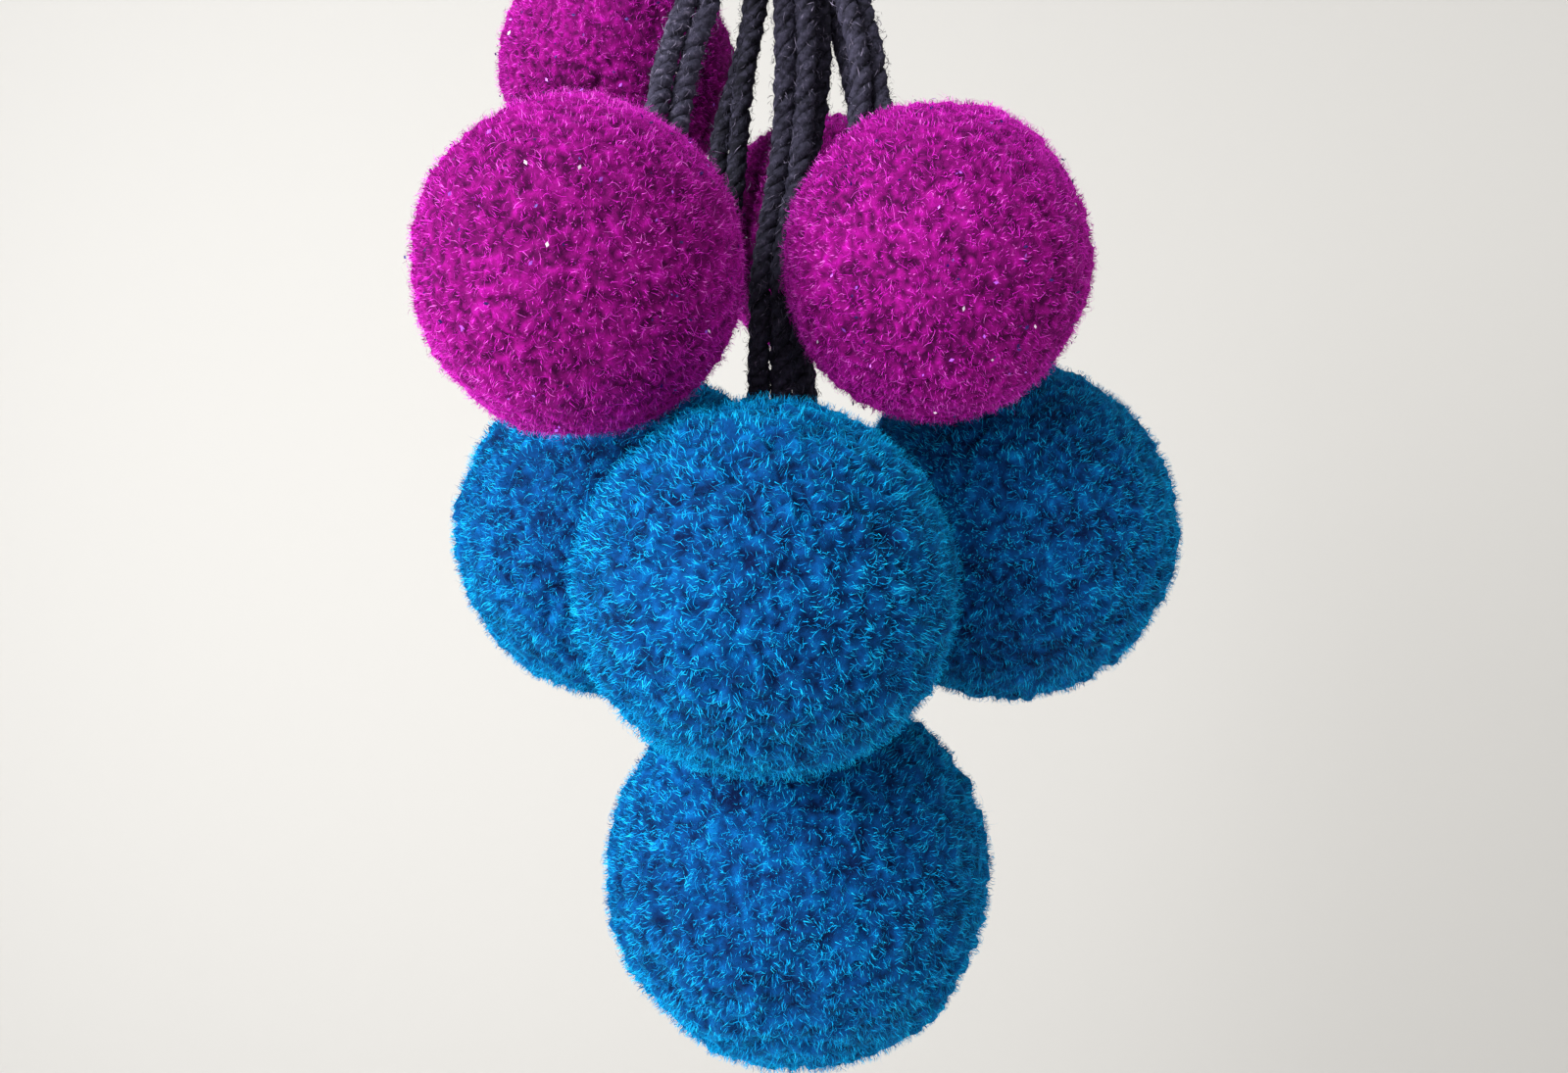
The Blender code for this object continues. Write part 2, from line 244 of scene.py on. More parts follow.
# Each row is a place on the middle line of a pair of cords. turn is the angle from one cord of the
# pair to the other, in degrees from +X towards +Y, and apart is the distance between their centres.
Place = namedtuple("Place", "x y z turn apart")
ROUTES = {
    "magenta_upper_left": (
        Place(-0.0059, 0.0061, -0.0843, 60, 0.00475),
        Place(-0.008, 0.0082, -0.094, 55, 0.005),
        Place(-0.0175, 0.0136, -0.105, 45, 0.005),
    ),
    "magenta_middle": (
        Place(0.0, 0.0041, -0.0843, 0, 0.00475),
        Place(0.0006, 0.0055, -0.098, 10, 0.005),
        Place(0.0025, 0.012, -0.122, 40, 0.0051),
        Place(0.005, 0.02, -0.14, 55, 0.0051),
    ),
    "magenta_front_left": (
        Place(-0.0059, -0.0061, -0.0843, -60, 0.00475),
        Place(-0.0095, -0.009, -0.105, -30, 0.0051),
        Place(-0.0166, -0.0165, -0.132, 0, 0.0049),
        Place(-0.0208, -0.022, -0.147, 15, 0.0049),
        Place(-0.0244, -0.03, -0.163, 20, 0.005),
    ),
    "magenta_front_right": (
        Place(0.0059, -0.0061, -0.0843, 60, 0.00475),
        Place(0.0082, -0.007, -0.105, 50, 0.005),
        Place(0.0122, -0.0105, -0.134, 34, 0.0049),
        Place(0.016, -0.017, -0.155, 42, 0.005),
        Place(0.0168, -0.021, -0.166, 34, 0.005),
        Place(0.0173, -0.0233, -0.172, 8, 0.0064),
    ),
    "blue_back_left": (
        Place(-0.0071, 0.0, -0.0843, 0, 0.00475),
        Place(-0.0076, 0.0041, -0.108, -45, 0.0051),
        Place(-0.009, 0.0105, -0.133, -70, 0.005),
        Place(-0.0122, 0.0102, -0.15, -65, 0.0052),
        Place(-0.0149, 0.0078, -0.165, -30, 0.0051),
        Place(-0.0164, 0.0062, -0.182, -28, 0.0052),
        Place(-0.022, 0.0105, -0.206, -20, 0.0051),
    ),
    "blue_back_right": (
        Place(0.0071, 0.0, -0.0843, 0, 0.00475),
        Place(0.0092, 0.0042, -0.11, 40, 0.0051),
        Place(0.0106, 0.0066, -0.136, 75, 0.0051),
        Place(0.0148, 0.002, -0.157, 80, 0.0052),
        Place(0.0205, -0.004, -0.182, 25, 0.0049),
        Place(0.028, 0.002, -0.206, 5, 0.0053),
    ),
    "blue_front": (
        Place(-0.0012, -0.0061, -0.0843, -60, 0.00475),
        Place(-0.0009, -0.0068, -0.115, -30, 0.005),
        Place(0.0006, -0.0085, -0.15, 0, 0.0048),
        Place(-0.0006, -0.014, -0.178, -25, 0.005),
        Place(-0.0044, -0.0205, -0.202, -26, 0.0049),
        Place(-0.0049, -0.0285, -0.226, -22, 0.0051),
    ),
    "blue_bottom": (
        Place(0.0012, -0.00205, -0.0843, -60, 0.00475),
        Place(0.0024, -0.0012, -0.115, -25, 0.005),
        Place(0.0044, -0.0004, -0.146, 10, 0.0049),
        Place(0.0026, -0.004, -0.17, 25, 0.0049),
        Place(-0.0004, -0.0066, -0.197, 50, 0.0049),
        Place(0.0026, -0.001, -0.226, 75, 0.0049),
        Place(0.0048, 0.002, -0.258, 35, 0.0049),
        Place(0.0036, 0.0016, -0.283, 0, 0.0049),
    ),
}


def linear(red, green, blue):
    """A colour given as 0 to 255 values of a screen, as the shader's linear values."""
    shares = [value / 255 for value in (red, green, blue)]
    return (*(s / 12.92 if s <= 0.04045 else ((s + 0.055) / 1.055) ** 2.4 for s in shares), 1.0)


# Dark to pale, as (tone, colour): the dark end shows the painted shade at roots, in hollows and grooves,
# the pale end the painted light at tips
SHADES = {
    "blue_wool": (
        (0.00, linear(0, 20, 62)),
        (0.25, linear(0, 68, 132)),
        (0.50, linear(0, 122, 198)),
        (0.75, linear(0, 166, 236)),
        (1.00, linear(24, 200, 250)),
    ),
    "magenta_wool": (
        (0.00, linear(60, 0, 52)),
        (0.25, linear(134, 8, 114)),
        (0.50, linear(190, 16, 172)),
        (0.75, linear(224, 44, 210)),
        (1.00, linear(250, 120, 236)),
    ),
    "black_cord": (
        (0.00, linear(8, 8, 12)),
        (0.35, linear(27, 27, 36)),
        (0.65, linear(64, 62, 80)),
        (1.00, linear(146, 138, 164)),
    ),
}
# The sheen's weight and tint, and how strongly fine noise shifts the tone and bumps the surface
Finish = namedtuple("Finish", "sheen tint mottle grain")
FINISHES = {
    "blue_wool": Finish(1.0, linear(8, 184, 255), 0.30, 0.5),
    "magenta_wool": Finish(1.0, linear(244, 50, 222), 0.34, 0.5),
    "black_cord": Finish(0.15, linear(110, 110, 150), 0.55, 1.0),
}

# How the wool takes light, and its noise as (features for each metre, octaves)
WOOL_ROUGHNESS = 0.88
WOOL_SPECULAR = 0.1
SHEEN_ROUGHNESS = 0.36
MOTTLE = (900, 2)
GRAIN = (2600, 3)
GRAIN_RISE = 0.3 * MM

# Glitter, dark to almost white by each flake's own tone
GLITTER_SHADES = (
    (0.00, linear(40, 10, 96)),
    (0.55, linear(196, 96, 246)),
    (0.92, linear(252, 236, 255)),
)
GLITTER_METAL = 0.5
GLITTER_ROUGHNESS = 0.3

# Stage: a pale floor a door handle's height below, a pale backdrop well behind, and soft light
STAGE_SIZE = 8.0
FLOOR_Z = -1.0
BACKDROP_Y = 1.1
STAGE_COLOUR = linear(218, 217, 215)
STAGE_ROUGHNESS = 0.9
WORLD_COLOUR = linear(232, 231, 228)
WORLD_STRENGTH = 0.52
MIDDLE = (0.0, 0.0, -0.24)
Light = namedtuple("Light", "name place target size watts colour")
LIGHTS = (
    Light("key", (-0.95, -0.85, 0.2), MIDDLE, 1.1, 41.0, (1.0, 0.992, 0.98)),
    Light("fill", (0.3, -0.9, -0.9), MIDDLE, 1.2, 5.0, (1.0, 0.98, 0.95)),
    Light("wash", (1.3, 0.2, 0.3), (0.9, 1.1, 0.1), 1.0, 2.0, (1.0, 0.97, 0.93)),
)

# Camera, its lens and sensor in millimetres
CAMERA_PLACE = (-0.002, -0.298, -0.262)
LENS = 29.25
SENSOR_WIDTH = 36
NEAREST_SEEN = 0.01


def unit(vectors):
    """The vectors, each made one long."""
    return vectors / np.maximum(np.linalg.norm(vectors, axis=-1, keepdims=True), 1e-12)


def lattice(cells, seed):
    """A steady value from -1 to 1 for each whole-number place, mixed by large odd numbers."""
    x, y, z = (cells[..., k].astype(np.int64).astype(np.uint64) for k in range(3))
    limit = np.uint64(0xFFFFFFFF)
    mixed = (x * np.uint64(73856093)) ^ (y * np.uint64(19349663)) ^ (z * np.uint64(83492791))
    mixed = (mixed ^ np.uint64(seed * 2654435761 % 2**32)) & limit
    mixed = ((mixed ^ (mixed >> np.uint64(15))) * np.uint64(2246822519)) & limit
    mixed = ((mixed ^ (mixed >> np.uint64(13))) * np.uint64(3266489917)) & limit
    mixed ^= mixed >> np.uint64(16)
    return mixed.astype(float) / 0x7FFFFFFF - 1.0


def smooth_noise(points, seed):
    """Smooth values from -1 to 1 with features about one unit across."""
    base = np.floor(points)
    share = points - base
    share = share * share * (3 - 2 * share)
    total = np.zeros(points.shape[:-1])
    for corner in np.ndindex(2, 2, 2):
        weight = np.prod(np.where(corner, share, 1 - share), axis=-1)
        total += weight * lattice(base + corner + LATTICE_SHIFT, seed)
    return total


def even_ways(count, jitter, rng):
    """Directions spread evenly over a ball along a golden spiral, then nudged."""
    steps = np.arange(count) + 0.5
    z = 1 - 2 * steps / count
    turn = math.pi * (3 - math.sqrt(5)) * steps
    flat = np.sqrt(1 - z * z)
    ways = np.stack([flat * np.cos(turn), flat * np.sin(turn), z], axis=1)
    return unit(ways + rng.normal(0, jitter * math.sqrt(4 * math.pi / count), ways.shape))


def sideways(ways, rng):
    """A random direction square to each way."""
    return unit(np.cross(ways, rng.normal(size=ways.shape)))


def mesh_from(name, points, triangles, tones, material, normals=None):
    """A smooth mesh object with a tone at each point, and normals of its own if given."""
    mesh = bpy.data.meshes.new(name)
    mesh.vertices.add(len(points))
    mesh.vertices.foreach_set("co", np.ascontiguousarray(points, dtype=np.float32).ravel())
    mesh.loops.add(3 * len(triangles))
    mesh.loops.foreach_set("vertex_index", np.ascontiguousarray(triangles, dtype=np.int32).ravel())
    mesh.polygons.add(len(triangles))
    mesh.polygons.foreach_set("loop_start", np.arange(0, 3 * len(triangles), 3, dtype=np.int32))
    mesh.update(calc_edges=True)
    mesh.shade_smooth()
    tone = mesh.attributes.new("tone", "FLOAT", "POINT")
    tone.data.foreach_set("value", np.clip(tones, 0, 1).astype(np.float32))
    mesh.materials.append(material)
    if normals is not None:
        mesh.normals_split_custom_set_from_vertices(normals.tolist())
    made = bpy.data.objects.new(name, mesh)
    bpy.context.scene.collection.objects.link(made)
    return made


def joined(parts):
    """Several (points, triangles, tones, normals) as one."""
    starts = np.cumsum([0] + [len(part[0]) for part in parts[:-1]])
    return (
        np.concatenate([part[0] for part in parts]),
        np.concatenate([part[1] + start for part, start in zip(parts, starts)]),
        np.concatenate([part[2] for part in parts]),
        np.concatenate([part[3] for part in parts]),
    )


def lenses(spines, sides, widths, tones, normals):
    """Bent leaf shapes, pointed at both ends, along spines of shape (count, 3, 3)."""
    half = sides * (widths / 2)[:, None]
    points = np.stack([spines[:, 0], spines[:, 1] - half, spines[:, 1] + half, spines[:, 2]], axis=1)
    pattern = np.array([(0, 2, 1), (1, 2, 3)])
    triangles = (np.arange(len(spines))[:, None, None] * 4 + pattern[None]).reshape(-1, 3)
    tones = tones[:, [0, 1, 1, 2]].ravel()
    return points.reshape(-1, 3), triangles, tones, np.repeat(normals, 4, axis=0)


def ribbons(spines, sides, widths, tones, normals):
    """Flat strips that taper to a point along spines of shape (count, stops, 3)."""
    count, stops = spines.shape[:2]
    rows = []
    for k in range(stops - 1):
        half = sides * (widths * (0.5 - RIBBON_TAPER * k))[:, None]
        rows += [spines[:, k] - half, spines[:, k] + half]
    rows.append(spines[:, -1])
    points = np.stack(rows, axis=1)
    pattern = []
    for k in range(stops - 2):
        pattern += [(2 * k, 2 * k + 1, 2 * k + 3), (2 * k, 2 * k + 3, 2 * k + 2)]
    pattern.append((2 * stops - 4, 2 * stops - 3, 2 * stops - 2))
    per = points.shape[1]
    triangles = (np.arange(count)[:, None, None] * per + np.array(pattern)[None]).reshape(-1, 3)
    tone_rows = np.repeat(tones, 2, axis=1)[:, : per - 1]
    tone_rows = np.concatenate([tone_rows, tones[:, -1:]], axis=1)
    return points.reshape(-1, 3), triangles, tone_rows.ravel(), np.repeat(normals, per, axis=0)


def new_material(name):
    """A material, its node tree and its shader."""
    made = bpy.data.materials.new(name)
    made.use_nodes = True
    tree = made.node_tree
    return made, tree, tree.nodes["Principled BSDF"]


def add_tone(tree):
    """The points' own tone, as a new node."""
    tone = tree.nodes.new("ShaderNodeAttribute")
    tone.attribute_name = "tone"
    return tone


def add_noise(tree, place, scale, detail):
    """Noise that stays with the object, as a new node."""
    noise = tree.nodes.new("ShaderNodeTexNoise")
    noise.inputs["Scale"].default_value = scale
    noise.inputs["Detail"].default_value = detail
    tree.links.new(place.outputs["Object"], noise.inputs["Vector"])
    return noise


def add_ramp(tree, shades):
    """A colour ramp through the shades, as a new node."""
    ramp = tree.nodes.new("ShaderNodeValToRGB")
    stops = ramp.color_ramp.elements
    while len(stops) < len(shades):
        stops.new(0.5)
    for stop, (at, colour) in zip(stops, shades):
        stop.position = at
        stop.color = colour
    return ramp


def wool_material(name):
    """Tone from painted shade at the root to painted light at the tip, mottled and finely bumped, with a
    soft sheen.
    """
    made, tree, shader = new_material("look_" + name)
    finish = FINISHES[name]
    shader.inputs["Roughness"].default_value = WOOL_ROUGHNESS
    shader.inputs["Specular IOR Level"].default_value = WOOL_SPECULAR
    shader.inputs["Sheen Weight"].default_value = finish.sheen
    shader.inputs["Sheen Roughness"].default_value = SHEEN_ROUGHNESS
    shader.inputs["Sheen Tint"].default_value = finish.tint

    tone = add_tone(tree)
    place = tree.nodes.new("ShaderNodeTexCoord")
    mottle = add_noise(tree, place, *MOTTLE)
    centred = tree.nodes.new("ShaderNodeMath")
    centred.operation = "MULTIPLY_ADD"
    centred.inputs[1].default_value = finish.mottle
    centred.inputs[2].default_value = -finish.mottle / 2
    tree.links.new(mottle.outputs["Fac"], centred.inputs[0])
    summed = tree.nodes.new("ShaderNodeMath")
    summed.operation = "ADD"
    tree.links.new(tone.outputs["Fac"], summed.inputs[0])
    tree.links.new(centred.outputs["Value"], summed.inputs[1])
    ramp = add_ramp(tree, SHADES[name])
    tree.links.new(summed.outputs["Value"], ramp.inputs["Fac"])
    tree.links.new(ramp.outputs["Color"], shader.inputs["Base Color"])

    grain = add_noise(tree, place, *GRAIN)
    bump = tree.nodes.new("ShaderNodeBump")
    bump.inputs["Strength"].default_value = finish.grain
    bump.inputs["Distance"].default_value = GRAIN_RISE
    tree.links.new(grain.outputs["Fac"], bump.inputs["Height"])
    tree.links.new(bump.outputs["Normal"], shader.inputs["Normal"])
    return made


def glitter_material():
    """Half-metallic flakes, each of one shade."""
    made, tree, shader = new_material("look_glitter")
    shader.inputs["Metallic"].default_value = GLITTER_METAL
    shader.inputs["Roughness"].default_value = GLITTER_ROUGHNESS
    tone = add_tone(tree)
    ramp = add_ramp(tree, GLITTER_SHADES)
    ramp.color_ramp.interpolation = "CONSTANT"
    tree.links.new(tone.outputs["Fac"], ramp.inputs["Fac"])
    tree.links.new(ramp.outputs["Color"], shader.inputs["Base Color"])
    return made


def plain_material(name, colour, roughness):
    """One even colour, for the stage."""
    made, _, shader = new_material(name)
    shader.inputs["Base Color"].default_value = colour
    shader.inputs["Roughness"].default_value = roughness
    return made


def centre_of(ball):
    """Where a pompom's middle is."""
    return np.array([ball.x, ball.y, ball.z])


def seat_of(ball):
    """The way from a pompom's middle to where its cords go in."""
    return unit(np.array([ball.seat_x, ball.seat_y, ball.seat_z]))


def flats_of(ball):
    """Planes where a neighbour stops the pile, as (outward normal, distance from the centre)."""
    flats = []
    for other in BALLS:
        way = centre_of(other) - centre_of(ball)
        room = np.linalg.norm(way) - ball.radius - other.radius
        if other is not ball and room < FLAT_ROOM:
            flats.append((unit(way), ball.radius + room / 2 - FLAT_GAP / 2))
    return flats


def pressed(points, flats):
    """The points, pulled straight towards the centre where they pass a neighbour's plane."""
    points = points.copy()
    for normal, distance in flats:
        ahead = points @ normal
        past = ahead > distance
        points[past] *= (distance / ahead[past])[:, None]
    return points


def make_tufts(ball, rng):
    """Cut yarn ends all over a ball: their places, tone, rise and lean."""
    wool = WOOLS[ball.slot]
    count = int(4 * math.pi * ball.radius**2 / (TUFT_AREA * wool.spacing**2))
    ways = even_ways(count, TUFT_JITTER, rng)
    return {
        "ways": ways,
        "tone": rng.beta(*TUFT_TONES, count),
        "rise": rng.normal(0, TUFT_RISE, count).clip(-1, 1) * wool.relief,
        "lean": sideways(ways, rng) * rng.uniform(*TUFT_LEAN, (count, 1)),
    }


def warped(ways, ball, size, seed):
    """The ways, pushed aside unevenly so that the borders between tufts wander."""
    spots = ways * (ball.radius / (WANDER_SIZE * size))
    push = np.stack([smooth_noise(spots, seed + k) for k in WANDER_NOISE], axis=1)
    return unit(ways + push * (WANDER_DEPTH * size / ball.radius))


def pile_surface(ways, ball, tufts, seed):
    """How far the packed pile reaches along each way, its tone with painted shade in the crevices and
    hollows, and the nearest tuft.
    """
    wool = WOOLS[ball.slot]
    nearest = np.zeros(len(ways), int)
    first = np.zeros(len(ways))
    second = np.zeros(len(ways))
    moved = warped(ways, ball, wool.spacing, seed)
    for start in range(0, len(ways), WAYS_AT_ONCE):
        part = slice(start, start + WAYS_AT_ONCE)
        close = moved[part] @ tufts["ways"].T
        nearest[part] = close.argmax(axis=1)
        rows = np.arange(len(close))
        first[part] = close[rows, nearest[part]]
        close[rows, nearest[part]] = -1
        second[part] = close.max(axis=1)
    near = np.arccos(first.clip(-1, 1)) * ball.radius
    next_near = np.arccos(second.clip(-1, 1)) * ball.radius
    inside = ((next_near - near) / (BORDER_WIDTH * wool.spacing)).clip(0, 1)
    inside = inside * (2 - inside)
    wave = smooth_noise(ways * ball.radius / WAVE_LENGTH, seed)
    patch = smooth_noise(ways * ball.radius / PATCH_LENGTH, seed + PATCH_NOISE)
    reach = ball.radius - PILE_DEPTH + WAVE_RISE * wave
    reach = reach + tufts["rise"][nearest] + wool.relief * (inside - 0.5)
    seat = ((1 - ways @ seat_of(ball)) * 2).clip(0) ** 0.5 * ball.radius
    reach -= SEAT_DIMPLE * np.exp(-((seat / SEAT_WIDTH) ** 2))
    # Painted shade in the crevices between tufts and in the hollows of the waves
    tone = wool.tone + CREVICE_PAINTED_SHADE * inside + TONE_TUFT * tufts["tone"][nearest]
    return reach, tone + TONE_PATCH * patch + WAVE_PAINTED_SHADE * wave, nearest


def icosphere():
    """Points and triangles of an even unit ball."""
    cage = bmesh.new()
    bmesh.ops.create_icosphere(cage, subdivisions=BALL_SUBDIVISIONS, radius=1)
    points = np.array([vert.co[:] for vert in cage.verts])
    triangles = np.array([[vert.index for vert in face.verts] for face in cage.faces])
    cage.free()
    return unit(points), triangles


def outward(shape, spines, ways, widths, tones, shade, rng):
    """Fibres that show their flat side outward, shaded mostly as the ball under them."""
    along = unit(spines[:, -1] - spines[:, 0])
    across = unit(np.cross(along, ways))
    lifted = unit(np.cross(across, along))
    roll = rng.uniform(-FIBRE_ROLL, FIBRE_ROLL, (len(ways), 1))
    sides = across * np.cos(roll) + lifted * np.sin(roll)
    facing = unit(np.cross(sides, along))
    return shape(spines, sides, widths, tones, unit(ways * shade + facing * (1 - shade)))


def held_in(spines, ball, flats):
    """Spines that pass the ball's outline by TIP_LIMIT at most, and no neighbour's plane."""
    out = np.linalg.norm(spines, axis=2, keepdims=True)
    spines = spines * np.minimum(1, (ball.radius + TIP_LIMIT) / out)
    return pressed(spines.reshape(-1, 3), flats).reshape(spines.shape)


def pile_fibres(ball, tufts, flats, seed, rng):
    """The cut ends that cover the pile: upright with painted shade at the root, bent over with painted
    light at the tip, and with more painted shade where they stand low.
    """
    wool = WOOLS[ball.slot]
    count = int(wool.fibres * 4 * math.pi * (ball.radius / MM) ** 2)
    ways = even_ways(count, FIBRE_JITTER, rng)
    reach, tone, nearest = pile_surface(ways, ball, tufts, seed)
    length = rng.uniform(*wool.length, (count, 1))
    lean = tufts["lean"][nearest]
    lower = ways * rng.uniform(*FIBRE_LOWER.outward, (count, 1)) + lean * FIBRE_LOWER.lean
    lower = unit(lower + sideways(ways, rng) * FIBRE_LOWER.aside)
    upper = lower * FIBRE_KEPT + lean * FIBRE_UPPER.lean + sideways(ways, rng) * FIBRE_UPPER.aside
    upper = unit(upper + ways * rng.uniform(*FIBRE_UPPER.outward, (count, 1)))
    root = ways * (reach - FIBRE_ROOT)[:, None]
    middle = root + lower * length * 0.5
    tip = middle + upper * length * 0.5
    gathered = tufts["ways"][nearest] * np.linalg.norm(tip, axis=1, keepdims=True)
    tip = tip + (gathered - tip) * rng.uniform(*FIBRE_GATHER, (count, 1))
    spines = held_in(np.stack([root, middle, tip], axis=1), ball, flats)
    height = (np.linalg.norm(spines[:, 2], axis=1) - ball.radius) / MM
    own = rng.normal(0, FIBRE_SPREAD, count) + PALE_LIFT * (rng.random(count) < PALE_SHARE)
    # Painted shade at the root and on fibres that stand low, painted light at the tip
    tones = (tone + own + HEIGHT_PAINTED_SHADE * (height + TONE_LEVEL))[:, None] + np.array(FIBRE_ROOT_SHADE_TIP_LIGHT)
    widths = wool.width * rng.uniform(*FIBRE_WIDTHS, count)
    return outward(lenses, spines, ways, widths, tones, FIBRE_SHADE, rng)


def pile_curls(ball, tufts, flats, seed, rng):
    """Fine pale curls that lie on the pile."""
    wool = WOOLS[ball.slot]
    count = int(wool.curls * 4 * math.pi * (ball.radius / MM) ** 2)
    ways = even_ways(count, CURL_JITTER, rng)
    reach, tone, nearest = pile_surface(ways, ball, tufts, seed)
    step = CURL_LENGTH * rng.uniform(*wool.length, (count, 1)) / (CURL_STOPS - 1)
    heading = sideways(ways, rng) + tufts["lean"][nearest] * CURL_LEAN
    heading = unit(heading + ways * rng.uniform(*CURL_OUTWARD, (count, 1)))
    veer = np.cross(ways, heading) * rng.normal(0, CURL_VEER, (count, 1)) - ways * CURL_SINK
    spot = ways * (reach + CURL_HEIGHT)[:, None]
    stops = [spot]
    for _ in range(CURL_STOPS - 1):
        spot = spot + heading * step
        heading = unit(heading + veer)
        stops.append(spot)
    spines = held_in(np.stack(stops, axis=1), ball, flats)
    pale = tone + rng.uniform(*CURL_LIFT, count)
    tones = pale[:, None] + np.linspace(*CURL_TONES, CURL_STOPS)
    widths = CURL_WIDTH * rng.uniform(*CURL_WIDTHS, count)
    return outward(ribbons, spines, ways, widths, tones, CURL_SHADE, rng)


def stray_hairs(ball, flats, rng):
    """The few long fine hairs that stand out of the pile."""
    ways = even_ways(HAIRS_PER_BALL, CURL_JITTER, rng)
    length = rng.uniform(*HAIR_LENGTH, (len(ways), 1))
    heading = unit(ways * rng.uniform(*HAIR_OUTWARD, (len(ways), 1)) + sideways(ways, rng))
    spot = ways * (ball.radius - HAIR_ROOT)
    stops = [spot]
    for _ in range(HAIR_STEPS):
        spot = spot + heading * length / HAIR_STEPS
        heading = unit(heading + sideways(ways, rng) * HAIR_WANDER)
        stops.append(spot)
    spines = np.stack(stops, axis=1)
    spines = pressed(spines.reshape(-1, 3), flats).reshape(spines.shape)
    tones = np.tile(rng.uniform(*HAIR_TONES, (len(ways), 1)), (1, HAIR_STEPS + 1))
    return outward(ribbons, spines, ways, np.full(len(ways), HAIR_WIDTH), tones, CURL_SHADE, rng)


def make_pile(ball, seed, ball_mesh, materials):
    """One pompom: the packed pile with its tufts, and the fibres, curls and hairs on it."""
    rng = np.random.default_rng(PILE_SEED + seed)
    tufts = make_tufts(ball, rng)
    flats = flats_of(ball)
    ways, triangles = ball_mesh
    reach, tone, _ = pile_surface(ways, ball, tufts, seed)
    parts = [
        # The packed pile carries painted shade, darker than the fibres on it
        (pressed(ways * reach[:, None], flats), triangles, tone - BASE_PAINTED_SHADE, ways),
        pile_fibres(ball, tufts, flats, seed, rng),
        pile_curls(ball, tufts, flats, seed, rng),
        stray_hairs(ball, flats, rng),
    ]
    points, triangles, tones, normals = joined(parts)
    points = points * [1, 1, ball.tall] + centre_of(ball)
    # A normal of zero leaves the packed pile the normals of its own mesh
    normals[: len(ways)] = 0
    made = mesh_from("pile_" + ball.name, points, triangles, tones, materials[ball.slot], normals)
    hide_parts("pompom_" + ball.name)
    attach(made, "root")
    return made


def make_glitter(ball, seed, material):
    """Tiny bright flakes caught in the pile, each a thin lozenge with four faces on either side."""
    rng = np.random.default_rng(GLITTER_SEED + seed)
    ways = even_ways(FLAKES_PER_BALL, FLAKE_JITTER, rng)
    across = sideways(ways, rng)
    facing = unit(ways + rng.normal(0, FLAKE_TILT, ways.shape))
    long_way = unit(np.cross(facing, across))
    short_way = np.cross(long_way, facing)
    size = rng.uniform(*FLAKE_SIZE, (len(ways), 1))
    middle = ways * (ball.radius - rng.uniform(*FLAKE_DEPTH, (len(ways), 1)))
    half_long, half_short = FLAKE_HALVES
    corners = np.stack(
        [
            middle + long_way * size * half_long,
            middle + short_way * size * half_short,
            middle - long_way * size * half_long,
            middle - short_way * size * half_short,
            middle + facing * FLAKE_HALF_THICKNESS,
            middle - facing * FLAKE_HALF_THICKNESS,
        ],
        axis=1,
    )
    pattern = [(k, (k + 1) % 4, 4) for k in range(4)] + [((k + 1) % 4, k, 5) for k in range(4)]
    corner_count = corners.shape[1]
    starts = np.arange(len(ways))[:, None, None] * corner_count
    triangles = (starts + np.array(pattern)[None]).reshape(-1, 3)
    points = pressed(corners.reshape(-1, 3), flats_of(ball)) * [1, 1, ball.tall] + centre_of(ball)
    tones = np.repeat(rng.random(len(ways)), corner_count)
    made = mesh_from("glitter_" + ball.name, points, triangles, tones, material)
    made.data.shade_flat()
    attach(made, "root")
    return made


def distances_along(line):
    """How far each point of a line is from its start, measured along it."""
    return np.concatenate([[0], np.cumsum(np.linalg.norm(np.diff(line, axis=0), axis=1))])


def smooth_line(stops, pitch):
    """Evenly spaced points on a Catmull-Rom curve through the stops, straight in its end runs."""
    stops = [np.array(stop, float) for stop in stops]
    padded = [2 * stops[0] - stops[1], *stops, 2 * stops[-1] - stops[-2]]
    fine = []
    for i in range(len(stops) - 1):
        a, b, c, d = padded[i : i + 4]
        straight = i in (0, len(stops) - 2)
        for t in np.arange(CURVE_STEPS) / CURVE_STEPS:
            bend = (c - a) * t + (2 * a - 5 * b + 4 * c - d) * t**2 + (3 * b - a - 3 * c + d) * t**3
            fine.append(b + (c - b) * t if straight else b + bend / 2)
    fine = np.array([*fine, stops[-1]])
    along = distances_along(fine)
    want = np.linspace(0, along[-1], max(3, round(along[-1] / pitch)))
    return np.stack([np.interp(want, along, fine[:, k]) for k in range(3)], axis=1)


def frames_along(line):
    """The line's direction at each point, and two square to it, carried along without twisting."""
    tangents = unit(np.gradient(line, axis=0))
    side = unit(np.cross(tangents[0], FIRST_SIDE))
    firsts = []
    for tangent in tangents:
        side = unit(side - tangent * (side @ tangent))
        firsts.append(side)
    firsts = np.array(firsts)
    return tangents, firsts, np.cross(tangents, firsts)


